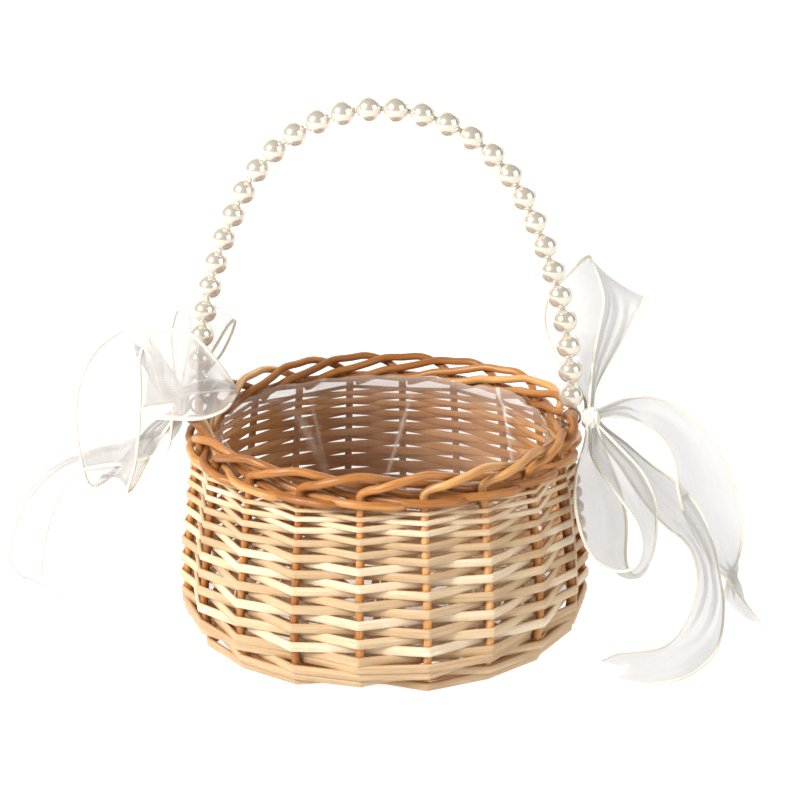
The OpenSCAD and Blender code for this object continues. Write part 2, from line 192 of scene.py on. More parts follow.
def willow_finish(name, dark, mid, light, roughness, coat, streaks):
    """Peeled willow: long fibres, a slow change of colour and small knots. A split strip is painted darker and warmer
    on its inner side, partly its own duller split face and partly painted shade for the inside of the basket, and
    along its top and bottom edges, painted shade between the strips."""
    f = Finish(name)
    along, round_it, shade = f.read("along"), f.read("around"), f.read("shade")
    turn_at = round_it * whole_turn
    skin = f.point(turn_at.sine() * 0.6, (turn_at + quarter_turn).sine() * 0.6, along * 22.0 + shade * 40.0)
    fibre = f.point(turn_at.sine() * 3.0, (turn_at + quarter_turn).sine() * 3.0, along * 60.0 + shade * 70.0)
    slow = f.grain(skin, 1.3, 3.0, 0.55)
    fine = f.grain(fibre, streaks, 3.0, 0.6)
    tone = (slow * 0.50 + fine * 0.36 + (shade - 0.5) * 0.28 + 0.07).held()
    colour = f.node("ValToRGB", {"stops": [(0.18, dark), (0.50, mid), (0.80, light)]}, {"Fac": tone})
    knots = f.node("TexVoronoi", {"feature": "F1"}, {"Vector": skin, "Scale": 0.9, "Randomness": 1.0})
    spot = (1.0 - (knots * 9.0)).held()
    colour = f.blendin(spot * 0.55, colour, tuple(c * 0.35 for c in dark))
    # multiplied darker and warmer on a split strip's inner side and edges: painted shade, on the inner side partly
    # the split face's own duller colour
    colour = f.blendin(f.read("heart"), colour, (0.98, 0.67, 0.39), "MULTIPLY")
    height = fine * 0.7 + slow * 0.3 + spot * 0.5
    return f.done(f.shade(Base_Color=colour, Roughness=(roughness + (fine - 0.5) * 0.25).held(), Coat_Weight=coat,
                          Coat_Roughness=0.25, Specular_IOR_Level=0.3, Normal=f.bump(height, 0.35, 0.0004)))


buff_willow = willow_finish("buff_willow", (0.15, 0.036, 0.004), (0.42, 0.170, 0.042), (0.77, 0.46, 0.185),
                            roughness=0.38, coat=0.10, streaks=2.2)


class Recipe:
    """A Geometry Nodes tree; its named inputs are set on the modifier."""

    def __init__(self, name, **inputs):
        self.tree = bpy.data.node_groups.new(name, "GeometryNodeTree")
        face = self.tree.interface
        face.new_socket("Geometry", in_out="INPUT", socket_type="NodeSocketGeometry")
        self.sockets = {k: face.new_socket(k, in_out="INPUT", socket_type="NodeSocket" + v)
                        for k, v in inputs.items()}
        face.new_socket("Geometry", in_out="OUTPUT", socket_type="NodeSocketGeometry")
        self.start = self.tree.nodes.new("NodeGroupInput")
        self.end = self.tree.nodes.new("NodeGroupOutput")

    def given(self, name):
        return self.start.outputs[name]

    def step(self, kind, settings=None, sockets=None, out=0):
        n = self.tree.nodes.new(kind)
        for key, value in (settings or {}).items():
            setattr(n, key, value)
        for key, value in (sockets or {}).items():
            if isinstance(value, bpy.types.NodeSocket):
                self.tree.links.new(value, n.inputs[key])
            else:
                n.inputs[key].default_value = value
        return n.outputs[out]

    def keep(self, geometry, name, value):
        return self.step("GeometryNodeStoreNamedAttribute", {"data_type": "FLOAT", "domain": "POINT"},
                         {"Geometry": geometry, "Name": name, "Value": value})

    def named(self, name):
        return self.step("GeometryNodeInputNamedAttribute", {"data_type": "FLOAT"}, {"Name": name})

    def finish(self, geometry):
        whole = self.step("GeometryNodeRealizeInstances", {}, {"Geometry": geometry})
        dressed = self.step("GeometryNodeSetMaterial", {}, {"Geometry": whole, "Material": self.given("finish")})
        self.tree.links.new(dressed, self.end.inputs[0])

    def grow(self, name, source, **values):
        """Runs the tree on an object and returns the result as a plain mesh."""
        mod = source.modifiers.new("recipe", "NODES")
        mod.node_group = self.tree
        for key, value in values.items():
            mod[self.sockets[key].identifier] = value
        bpy.context.view_layer.update()
        grown = source.evaluated_get(bpy.context.evaluated_depsgraph_get())
        mesh = bpy.data.meshes.new_from_object(grown)
        bpy.data.objects.remove(source)
        mesh.name = name
        piece = bpy.data.objects.new(name, mesh)
        bpy.context.scene.collection.objects.link(piece)
        return piece


def route(name, lines, closed=False):
    """Lines of points, each with its girth and shade, as one loose mesh."""
    points, edges, girth, shade = [], [], [], []
    for line, wide, tone in lines:
        at = len(points)
        points += [tuple(p) for p in line]
        edges += [(at + i, at + i + 1) for i in range(len(line) - 1)]
        if closed:
            edges.append((at + len(line) - 1, at))
        girth += list(wide)
        shade += [tone] * len(line)
    mesh = bpy.data.meshes.new(name + "_route")
    mesh.from_pydata(points, edges, [])
    mesh.attributes.new("girth", "FLOAT", "POINT").data.foreach_set("value", np.array(girth, np.float32))
    mesh.attributes.new("shade", "FLOAT", "POINT").data.foreach_set("value", np.array(shade, np.float32))
    obj = bpy.data.objects.new(name + "_route", mesh)
    bpy.context.scene.collection.objects.link(obj)
    return obj


rod_recipe = Recipe("rod_along_a_route", thickness="Float", sides="Int", finish="Material")
line = rod_recipe.step("GeometryNodeMeshToCurve", {}, {"Mesh": rod_recipe.given("Geometry")})
line = rod_recipe.step("GeometryNodeSetCurveRadius", {}, {"Curve": line, "Radius": rod_recipe.named("girth")})
line = rod_recipe.keep(line, "along", rod_recipe.step("GeometryNodeSplineParameter", out="Length"))
ring = rod_recipe.step("GeometryNodeCurvePrimitiveCircle", {"mode": "RADIUS"},
                       {"Resolution": rod_recipe.given("sides"), "Radius": rod_recipe.given("thickness")})
ring = rod_recipe.keep(ring, "around", rod_recipe.step("GeometryNodeSplineParameter", out="Factor"))
body = rod_recipe.step("GeometryNodeCurveToMesh", {}, {"Curve": line, "Profile Curve": ring, "Fill Caps": True})
rod_recipe.finish(rod_recipe.step("GeometryNodeSetShadeSmooth", {}, {"Geometry": body}))

uprights = 20
step = math.tau / uprights
# the wire eyes hang round the top rod of the border and so give its height
eye_r, eye_wire = 0.0044, 0.0007
rim_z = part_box("handle_wire")[0].z + eye_r + eye_wire
dice = np.random.default_rng(11)
# noise_vector, which sway() uses, would otherwise start from the clock
noise.seed_set(11)


def wall_radius(z):
    """Outside of the weave at height z in metres: a barrel, rounded in low."""
    z = z * 1000.0
    if z >= 25:
        return (103.5 - 7.5 * ((z - 25) / 61) ** 1.3) / 1000
    return (103.5 - 10.5 * (1 - math.sqrt(max(0.0, 1 - ((25 - z) / 25) ** 2)))) / 1000


def polar(angle, radius, z):
    return Vector((radius * math.sin(angle), -radius * math.cos(angle), z))


def sway(p):
    """The whole wall is a little uneven; everything woven shares the wander."""
    return Vector(p) + noise.noise_vector(Vector(p) * 14.0) * 0.0005


def ease(t):
    return t * t * (3 - 2 * t)


def smooth_line(points, parts):
    """Catmull-Rom through the points."""
    pts = [np.array(p, float) for p in points]
    pts = [2 * pts[0] - pts[1]] + pts + [2 * pts[-1] - pts[-2]]
    out = []
    for a, b, c, d in zip(pts, pts[1:], pts[2:], pts[3:]):
        for t in np.linspace(0, 1, parts, endpoint=False):
            square, cube = 2 * a - 5 * b + 4 * c - d, 3 * b - a - 3 * c + d
            out.append(0.5 * (2 * b + (c - a) * t + square * t ** 2 + cube * t ** 3))
    return out + [pts[-2]]


def border_at(u, far):
    """Radius and height of a border rod, u uprights on from its own; far is 1
    at the back, where the rods were laid tighter and flatter."""
    if u <= 1:
        at = (0, 0.12, 0.333, 0.667, 1)
        radius = np.interp(u, at, (91.2, 91.9, 94.6, 94.9, 92.5))
        height = np.interp(u, at, (95, 97.4, 99.9, 103.0, 104.3))
        return radius, height + far * (1.6 * math.sin(math.pi * u) ** 2 - 0.6 * u)
    if u <= 2:
        t = ease(u - 1) * (1 - far) + ease(max(0.0, (u - 1.3) / 0.7)) * far
        return 92.5 - 6.3 * ease(u - 1), 104.3 - 0.6 * far - (6.3 - 2.4 * far) * t
    if u <= 3:
        return 86.2 + 0.6 * ease(u - 2), 98.0 + 1.8 * far - (5.4 + 0.4 * far) * ease(u - 2)
    if u <= 4:
        return 86.8 + 9.4 * ease(u - 3), 92.6 + 1.4 * far - (0.4 + 0.6 * far) * ease(u - 3)
    # along the outside, then the end is tucked away behind the next upright
    tuck, sink = min(1.0, max(0.0, (u - 4.45) / 0.45)), min(1.0, (u - 4) / 0.9)
    return 96.2 - 7.4 * ease(tuck), 92.2 + 0.8 * far - 1.6 * ease(sink)


def behind(angle):
    """0 at the front and sides of the basket, 1 at its back."""
    return ease(min(1.0, max(0.0, 0.25 - 0.75 * math.cos(angle))))


# an upright stands this far inside the wall's face; a rod is thin in the wall
# and thick in the border, and thicker still at the back
rods = []
in_wall, border_top, thin_rod, thick_rod, thicker_behind = 0.0038, 0.1043, 0.92, 1.19, 0.12
up_the_wall = (3.0, 5.2, 8, 11.5, 15.5, 20, 26, 36, 48, 60, 72, 82, 90)
along_border = (0, 0.12, 1 / 3, 2 / 3, 1, 4 / 3, 5 / 3, 2, 7 / 3, 8 / 3, 3, 10 / 3, 11 / 3, 4,
                4.25, 4.45, 4.6, 4.72, 4.83)
for k in range(uprights):
    points = [polar(k * step, wall_radius(z / 1000) - in_wall, z / 1000) for z in up_the_wall]
    ends = 4.92 - 0.04 * dice.random()
    for u in along_border + (ends,):
        r, z = border_at(u, behind((k + u) * step))
        points.append(polar((k + u) * step, r / 1000, z / 1000 + rim_z - border_top))
    line = [sway(p) for p in smooth_line(points, 5)]
    n = len(line)
    swell = 0.97 + 0.09 * dice.random()
    wide = []
    for i in range(n):
        t = i / n
        girth = thin_rod if t < 0.30 else thin_rod + (thick_rod - thin_rod) * ease(min(1, (t - 0.30) / 0.10))
        taper = 1.0 - 0.10 * max(0, t - 0.75) / 0.25
        wide.append(girth * swell * taper * (1 + (thicker_behind * behind((k + 2) * step) if t > 0.4 else 0)))
    wide[0] *= 0.8
    rods.append((line, wide, dice.random()))
willow_rods = rod_recipe.grow("willow_rods", route("willow_rods", rods), thickness=0.0020, sides=12,
                              finish=buff_willow)
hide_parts(*[f"stake_{k + 1:02d}" for k in range(uprights)])
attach(willow_rods, "basket")

# ------------------------------------------------------------ woven willow
# Split willow with its bark off, half round and nearly white, woven round the
# wall in front of one upright and behind the next; heavier strips at the foot.
split_willow = willow_finish("split_willow", (0.34, 0.180, 0.070), (0.62, 0.455, 0.275), (0.87, 0.775, 0.615),
                             roughness=0.50, coat=0.03, streaks=3.0)

strip_recipe = Recipe("split_strip_along_a_route", thickness="Float", height="Float", finish="Material")
line = strip_recipe.step("GeometryNodeMeshToCurve", {}, {"Mesh": strip_recipe.given("Geometry")})
line = strip_recipe.step("GeometryNodeSetCurveRadius", {}, {"Curve": line, "Radius": strip_recipe.named("girth")})
line = strip_recipe.step("GeometryNodeSetCurveNormal", {"mode": "Z_UP"}, {"Curve": line})
line = strip_recipe.keep(line, "along", strip_recipe.step("GeometryNodeSplineParameter", out="Length"))
ring = strip_recipe.step("GeometryNodeCurvePrimitiveCircle", {"mode": "RADIUS"}, {"Resolution": 12, "Radius": 1.0})
ring = strip_recipe.keep(ring, "around", strip_recipe.step("GeometryNodeSplineParameter", out="Factor"))
spot = strip_recipe.step("GeometryNodeInputPosition")
part = strip_recipe.tree.nodes.new("ShaderNodeSeparateXYZ")
strip_recipe.tree.links.new(spot, part.inputs[0])


def sum_step(recipe, operation, a, b):
    return recipe.step("ShaderNodeMath", {"operation": operation}, {0: a, 1: b})


def signed_power(recipe, value, power):
    size = sum_step(recipe, "POWER", sum_step(recipe, "ABSOLUTE", value, 0.0), power)
    return sum_step(recipe, "MULTIPLY", sum_step(recipe, "SIGN", value, 0.0), size)


flat_x = signed_power(strip_recipe, part.outputs[0], 0.62)
flat_y = signed_power(strip_recipe, part.outputs[1], 0.42)
# how far round towards the inner side, and how near to an edge; the inner side is painted darker, partly its own
# duller split face and partly painted shade, and the edges are painted darker as painted shade between the strips
inner = sum_step(strip_recipe, "MULTIPLY", part.outputs[0], -3.0)
edges = sum_step(strip_recipe, "POWER", sum_step(strip_recipe, "ABSOLUTE", part.outputs[1], 0.0), 12.0)
heart = strip_recipe.step("ShaderNodeMath", {"operation": "ADD", "use_clamp": True},
                          {0: inner, 1: sum_step(strip_recipe, "MULTIPLY", edges, 0.4)})
ring = strip_recipe.keep(ring, "heart", heart)
half_t = sum_step(strip_recipe, "MULTIPLY", strip_recipe.given("thickness"), 0.5)
half_h = sum_step(strip_recipe, "MULTIPLY", strip_recipe.given("height"), 0.5)
shaped = strip_recipe.step("ShaderNodeCombineXYZ", {}, {
    "X": sum_step(strip_recipe, "MULTIPLY", flat_x, half_t), "Y": sum_step(strip_recipe, "MULTIPLY", flat_y, half_h)})
ring = strip_recipe.step("GeometryNodeSetPosition", {}, {"Geometry": ring, "Position": shaped})
body = strip_recipe.step("GeometryNodeCurveToMesh", {}, {"Curve": line, "Profile Curve": ring, "Fill Caps": True})
strip_recipe.finish(strip_recipe.step("GeometryNodeSetShadeSmooth", {}, {"Geometry": body}))


def round_about(angle, reach, z):
    """A place to read noise at, so that it joins up with itself all the way round."""
    return Vector((math.sin(angle) * reach, math.cos(angle) * reach, z))


between = (0.0, 0.02, 0.05, 0.10, 0.22, 0.36, 0.5, 0.64, 0.78, 0.90, 0.95, 0.98)


def woven_line(side, z_mid, amplitude, lean, seed):
    """A strip's middle line: straight from upright to upright, bent sharply at each."""

    def at_upright(k):
        s, angle = side(k) * amplitude, k * step
        wander = 0.00035 * noise.noise(round_about(angle, 5, seed))
        z = z_mid + wander - s * math.sin(lean)
        return polar(angle, wall_radius(z_mid) - in_wall + s * math.cos(lean), z)

    line, wide = [], []
    for k in range(uprights):
        here, there = at_upright(k), at_upright(k + 1)
        for t in between:
            angle = (k + t) * step
            # the wander the uprights have, so that nothing runs into them
            line.append(sway(here.lerp(there, t)))
            wide.append(0.98 + 0.16 * noise.noise(round_about(angle, 7, seed * 3.1 + 7)))
    return line, wide


# twenty rounds, tall at the foot and packed thin under the border
rows, low_row, high_row, first_pitch = 20, 0.0154, rim_z - 0.0166, 0.0046
squares = [(i / (rows - 1)) ** 2 for i in range(rows)]
pitch_drop = (rows * first_pitch - (high_row - low_row)) / sum(squares)
z = low_row
for i in range(rows):
    pitch = first_pitch - pitch_drop * squares[i]
    height = pitch * 1.04
    flip = 1 if i % 2 == 0 else -1
    line, wide = woven_line(lambda k: flip if k % 2 == 0 else -flip, z + pitch / 2 - 0.0001,
                            amplitude=0.00300, lean=0.0, seed=i * 1.7)
    strip = strip_recipe.grow(f"woven_round_{i + 1:02d}", route("woven", [(line, wide, dice.random())], closed=True),
                              thickness=0.0017, height=height, finish=split_willow)
    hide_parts(f"weave_row_{i + 1:02d}")
    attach(strip, "basket")
    z += pitch

# each foot strip goes outside three uprights and behind the fourth
for m, (low_z, high_z, lean) in enumerate(((2.9, 5.9, 30), (5.9, 9.0, 20), (9.0, 12.2, 9), (12.2, 15.4, 0))):
    line, wide = woven_line(lambda k: -1 if k % 4 == m else 1, (low_z + high_z) / 2000 - 0.0001,
                            amplitude=0.00325, lean=math.radians(lean), seed=50 + m * 2.3)
    tone = 0.3 * dice.random() - 0.15
    strip = strip_recipe.grow(f"foot_strip_{m + 1}", route("foot", [(line, wide, tone)], closed=True),
                              thickness=0.0022, height=(high_z - low_z) / 1000 + 0.0010, finish=split_willow)
    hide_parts(f"wale_rod_{m + 1}")
    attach(strip, "basket")

# -------------------------------------------------------------------- base
# The round base: a hoop that stands on the floor, six sticks laid across each
# other and fine willow woven over and under them.


def plain_willow(name, dark, light):
    f = Finish(name)
    place = f.place()
    slow = f.grain(place, 45.0, 3.0, 0.6)
    fine = f.grain(place, 420.0, 2.0, 0.6)
    colour = f.node("ValToRGB", {"stops": [(0.25, dark), (0.75, light)]}, {"Fac": (slow * 0.6 + fine * 0.4).held()})
    return f.done(f.shade(Base_Color=colour, Roughness=(0.35 + fine * 0.3).held(), Normal=f.bump(fine, 0.4, 0.0003)))


base_rod = plain_willow("base_rod_willow", (0.30, 0.12, 0.035), (0.62, 0.33, 0.12))
base_split = plain_willow("base_split_willow", (0.50, 0.29, 0.11), (0.86, 0.69, 0.44))
for name, finish in (("foot_hoop", base_rod), ("base_sticks", base_rod), ("base_weave", base_split)):
    nodes[name].data.materials.clear()
    nodes[name].data.materials.append(finish)

# ------------------------------------------------------------- clear liner
# A bag of thin clear film that keeps petals in. It is pushed down into the
# basket, creases as it follows the wall, and is folded over under the border.
f = Finish("clear_film")
place = f.place()
pull = f.node("VectorMath", {"operation": "MULTIPLY"}, {0: place, 1: (1.0, 1.0, 0.45)})
facet = f.node("TexVoronoi", {"feature": "DISTANCE_TO_EDGE"}, {"Vector": pull, "Scale": 17.0, "Randomness": 1.0})
haze = f.grain(place, 9.0, 2.0, 0.5)
patch = ((f.grain(place, 16.0, 1.0) - 0.43) * 7.0).held()
height = f.node("SeparateXYZ", {}, {0: place}, out=2)
# the folded-over top edge: doubled film, so more opaque, and painted lighter as a painted sheen
folded_top_and_painted_sheen = ((height - 0.081) * 85.0).held() * 0.25
# crease lines: more opaque, and painted lighter as a painted highlight along each crease
creases_and_painted_highlight = (1.0 - (facet * 34.0)).held() * patch
# the brown base tint is a painted reflection of the brown inside of the basket; towards the creases and the folded
# top it is painted light cream
colour = f.blendin((creases_and_painted_highlight + folded_top_and_painted_sheen * 1.5).held(), (0.52, 0.35, 0.25), (0.90, 0.83, 0.77))
milky = ((haze - 0.36) * 1.3).held() * 0.50
film = f.done(f.shade(Base_Color=colour, Roughness=0.22, Alpha=(0.02 + creases_and_painted_highlight * 0.26 + folded_top_and_painted_sheen + milky).held(),
                      Specular_IOR_Level=0.45, Normal=f.bump(facet * 3.0 + haze * 0.5, 0.35, 0.0016)))
film.surface_render_method = "BLENDED"

around_n = 220
verts, faces = [], []
liner_low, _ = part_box("liner")
floor_z = liner_low.z * 1000 + 0.2
# radius and height above the liner's floor, from the middle to the top edge
bottom = [(0.0, 0), (30, 0), (60, 0), (82, 0.1), (88, 0.8), (91.2, 3.0)]
wall = [(wall_radius(z / 1000) * 1000 - 8.95, z - floor_z) for z in np.linspace(18.5, 86, 24)]
neck = [(r, z - floor_z) for r, z in ((84.4, 90.5), (83.0, 93.0), (82.4, 95.2), (82.2, 97.2), (82.0, 99.4))]
profile = bottom + wall + neck
first_neck = len(profile) - len(neck)
for j, (r, h) in enumerate(profile):
    for i in range(around_n):
        a = i / around_n * math.tau
        high = max(0.0, (j - 5) / (len(profile) - 6))
        # loose film stands off the wall in soft upright folds
        fold = noise.noise(round_about(a, 2.6, 3.0 + h * 0.012))
        sharp = abs(noise.noise(Vector((math.sin(a) * 6.0 + h * 0.01, math.cos(a) * 6.0, h * 0.02))))
        off = (2.4 * (fold + 0.5) + 3.2 * (0.5 - sharp)) * ease(min(1, high * 3)) * (1.0 if high < 0.8 else 0.6)
        off = max(0.0, off)
        rag = 0.0
        if j >= first_neck:
            edge = (j - first_neck + 1) / 5
            slow, quick = noise.noise(round_about(a, 3.3, 9.0)), noise.noise(round_about(a, 11, 4.0))
            rag = -edge * (2.2 + 2.4 * slow + 1.2 * quick)
        dip = 0.35 * noise.noise(Vector((r * math.sin(a) * 0.05, r * math.cos(a) * 0.05, 1.0))) if j < 5 else 0
        rr = max(0.0, r - (off if r > 60 else 0))
        verts.append((rr / 1000 * math.sin(a), -rr / 1000 * math.cos(a), (floor_z + h + rag + max(0, dip)) / 1000))
for j in range(1, len(profile) - 1):
    for i in range(around_n):
        i2 = (i + 1) % around_n
        faces.append((j * around_n + i, j * around_n + i2, (j + 1) * around_n + i2, (j + 1) * around_n + i))
hub = len(verts)
verts.append((0, 0, floor_z / 1000))
for i in range(around_n):
    faces.append((hub, around_n + (i + 1) % around_n, around_n + i))
mesh = bpy.data.meshes.new("film_bag")
mesh.from_pydata(verts, [], faces)
loose = bmesh.new()
loose.from_mesh(mesh)
bmesh.ops.delete(loose, geom=[v for v in loose.verts if not v.link_faces], context="VERTS")
bmesh.ops.recalc_face_normals(loose, faces=loose.faces)
loose.to_mesh(mesh)
loose.free()
mesh.materials.append(film)
mesh.shade_smooth()
film_bag = bpy.data.objects.new("film_bag", mesh)
bpy.context.scene.collection.objects.link(film_bag)
skin = film_bag.modifiers.new("film", "SOLIDIFY")
skin.thickness, skin.offset = 0.00012, 0.0
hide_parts("liner")
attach(film_bag, "basket")

# ------------------------------------------------------------- handle wire
# A stiff wire bound with white thread, bent to an arch. At each foot its bare
# end is turned into an eye that goes round the top rod of the border.
f = Finish("bound_thread")
along, round_it = f.read("along"), f.read("around")
thread_turns_and_painted_groove_shade = (along * 9000.0 + round_it * whole_turn).sine() * 0.5 + 0.5
fuzz = f.grain(f.place(), 900.0, 2.0)
# darker between the turns of thread: painted shade in the grooves
colour = f.blendin(thread_turns_and_painted_groove_shade, (0.55, 0.52, 0.47), (0.92, 0.90, 0.86))
thread = f.done(f.shade(Base_Color=colour, Roughness=0.75, Sheen_Weight=0.3,
                        Normal=f.bump(thread_turns_and_painted_groove_shade * 0.8 + fuzz * 0.4, 0.6, 0.0002)))
f = Finish("bare_wire")
rub = f.grain(f.place(), 700.0, 3.0)
colour = f.blendin(rub, (0.22, 0.20, 0.17), (0.52, 0.48, 0.42))
bare_wire = f.done(f.shade(Base_Color=colour, Metallic=1.0, Roughness=(0.25 + rub * 0.3).held(),
                           Normal=f.bump(rub, 0.2, 0.0001)))

# the arch is two long side curves and a tighter one over the top
bead_x, bead_z = 0.0920, rim_z + 0.01105
side_r, top_r, a0, a1 = 0.2209, 0.0753, math.radians(1.22), math.radians(27.74)
side_c = Vector((bead_x - side_r * math.cos(a0), 0, bead_z - side_r * math.sin(a0)))
top_c = Vector((0, 0, side_c.z + (side_r - top_r) * math.sin(a1)))
half = [side_c + Vector((math.cos(a), 0, math.sin(a))) * side_r for a in np.linspace(a0, a1, 60)]
half += [top_c + Vector((math.cos(a), 0, math.sin(a))) * top_r for a in np.linspace(a1, math.pi / 2, 60)][1:]
arch = half + [Vector((-p.x, 0, p.z)) for p in half[-2::-1]]
bound_wire = rod_recipe.grow("bound_wire", route("wire", [(arch, [1.0] * len(arch), 0.5)]), thickness=0.0011,
                             sides=12, finish=thread)
eyes, eye_x = [], 0.0925
for side in (1, -1):
    ring = [Vector((side * eye_x + eye_r * math.sin(a), 0.0, rim_z + eye_r * math.cos(a)))
            for a in np.linspace(0, math.tau, 49)]
    stem = [Vector((side * bead_x, 0, rim_z + eye_r + 0.0004 * i)) for i in range(20)]
    eyes.append((ring, [1.0] * 49, 0.3))
    eyes.append((stem, [1.1] * 20, 0.6))
wire_eyes = rod_recipe.grow("wire_eyes", route("eyes", eyes), thickness=0.0006, sides=10, finish=bare_wire)
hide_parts("handle_wire")
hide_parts("handle_wire")
for piece in (bound_wire, wire_eyes):
    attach(piece, "handle")

# ------------------------------------------------------------------ pearls
# Thirty moulded pearls with a lacquered ivory skin, each bored through and
# threaded on the arch so that they almost touch.
f = Finish("pearl_lacquer")
place = f.place()
cloud = f.grain(place, 60.0, 3.0, 0.5)
# lighter and warmer towards the rim as the surface turns away from view: a painted sheen
rim_painted_sheen = f.node("LayerWeight", {}, {"Blend": 0.35}, out="Facing")
colour = f.blendin(cloud, (0.64, 0.57, 0.46), (0.77, 0.71, 0.60))
colour = f.blendin((rim_painted_sheen * 0.7).held(), colour, (0.95, 0.87, 0.75))
orange_peel = f.grain(place, 1400.0, 1.0)
pearl = f.done(f.shade(Base_Color=colour, Metallic=0.55, Roughness=(0.16 + cloud * 0.08).held(), Coat_Weight=0.8,
                       Coat_Roughness=0.03, Specular_IOR_Level=0.6, Normal=f.bump(orange_peel, 0.04, 0.0001)))

bead = bmesh.new()
bead_r, bore_r, turns = 6.05, 1.15, 40
mouth = math.asin(bore_r / bead_r)
ball = [(bead_r * math.sin(t), bead_r * math.cos(t)) for t in np.linspace(mouth + 0.03, math.pi - mouth - 0.03, 25)]
outline = [(bore_r, 5.2), (bore_r, 5.8)] + ball + [(bore_r, -5.8), (bore_r, -5.2)]
spokes = [i / turns * math.tau for i in range(turns)]
grid = [[bead.verts.new((r * math.cos(a) / 1000, r * math.sin(a) / 1000, h / 1000)) for a in spokes]
        for r, h in outline]
grid.append(grid[0])
for a, b in zip(grid, grid[1:]):
    for i in range(turns):
        bead.faces.new((a[i], b[i], b[(i + 1) % turns], a[(i + 1) % turns]))
bmesh.ops.recalc_face_normals(bead, faces=bead.faces)
bead_mesh = bpy.data.meshes.new("one_bead")
bead.to_mesh(bead_mesh)
bead.free()
bead_mesh.shade_smooth()
one_bead = bpy.data.objects.new("one_bead", bead_mesh)
bpy.context.scene.collection.objects.link(one_bead)

string_recipe = Recipe("beads_on_a_string", count="Int", bead="Object", finish="Material")
line = string_recipe.step("GeometryNodeMeshToCurve", {}, {"Mesh": string_recipe.given("Geometry")})
spaced = string_recipe.tree.nodes.new("GeometryNodeCurveToPoints")
spaced.mode = "COUNT"
string_recipe.tree.links.new(line, spaced.inputs["Curve"])
string_recipe.tree.links.new(string_recipe.given("count"), spaced.inputs["Count"])
shape = string_recipe.step("GeometryNodeObjectInfo", {"transform_space": "ORIGINAL"},
                           {"Object": string_recipe.given("bead")}, out="Geometry")
size = string_recipe.step("FunctionNodeRandomValue", {"data_type": "FLOAT"}, {2: 0.99, 3: 1.0, "Seed": 5}, out=1)
threaded = string_recipe.step("GeometryNodeInstanceOnPoints", {}, {
    "Points": spaced.outputs["Points"], "Instance": shape, "Rotation": spaced.outputs["Rotation"], "Scale": size})
string_recipe.finish(threaded)
pearls = string_recipe.grow("pearls", route("string", [(arch, [1.0] * len(arch), 0.5)]), count=30, bead=one_bead,
                            finish=pearl)
bpy.data.objects.remove(one_bead)
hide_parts("pearl_beads")
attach(pearls, "handle")

# ----------------------------------------------------------------- ribbons
# Sheer ribbon 38 mm wide with a corded, satin-stitched edge on both sides,
# tied in a bow at each foot of the handle; its ends are cut to a swallow tail.
f = Finish("sheer_ribbon")
run, wide_at = f.read("along"), f.read("across")
weft = (run * 5200.0).sine() * 0.5 + 0.5
warp = (wide_at * 220.0).sine() * 0.5 + 0.5
sheen_line = f.grain(f.point(wide_at * 2.2, run * 14.0, 0.0), 2.4, 3.0, 0.6)
edge = ((wide_at - 0.5).sum_of("ABSOLUTE") * 2.0)
hem = ((edge - 0.91) * 30.0).held()
# a value per ribbon piece for painted light and shade: it scales how opaque the cloth is; the piece set below 1 is
# made see-through so that it looks lighter, as painted light
weight = f.read("weight")
alpha = ((0.46 + sheen_line * 0.18 + (weft + warp) * 0.04) * weight + hem * 0.28).held()
colour = f.blendin(sheen_line, (0.56, 0.545, 0.53), (0.68, 0.665, 0.65))
colour = f.blendin(hem * 0.8, colour, (0.80, 0.755, 0.66))
# pieces set above 1 are multiplied darker: painted shade
colour = f.blendin(((weight - 1.0) * 2.0).held(), colour, (0.78, 0.78, 0.79), "MULTIPLY")
cloth = f.shade(Base_Color=colour, Roughness=0.45, Sheen_Weight=0.2, Sheen_Roughness=0.35,
                Normal=f.bump((weft + warp) * 0.5, 0.2, 0.0001))
through = f.node("BsdfTranslucent", {}, {"Color": colour})
cloth = f.node("MixShader", {}, {0: 0.42, 1: cloth, 2: through})
ribbon_cloth = f.done(f.node("MixShader", {}, {0: alpha, 1: f.node("BsdfTransparent"), 2: cloth}))
ribbon_cloth.surface_render_method = "BLENDED"

f = Finish("stitched_cord")
along, round_it = f.read("along"), f.read("around")
cord_twist_and_painted_groove_shade = (along * 4200.0 + round_it * whole_turn).sine() * 0.5 + 0.5
# darker in the grooves of the twist: painted shade
colour = f.blendin(cord_twist_and_painted_groove_shade, (0.74, 0.68, 0.54), (0.90, 0.86, 0.76))
stitch = f.done(f.shade(Base_Color=colour, Roughness=0.42, Sheen_Weight=0.4, Normal=f.bump(cord_twist_and_painted_groove_shade, 0.5, 0.00025)))

ribbon_width, cut_rows, cut_depth = 0.038, 9, 0.011


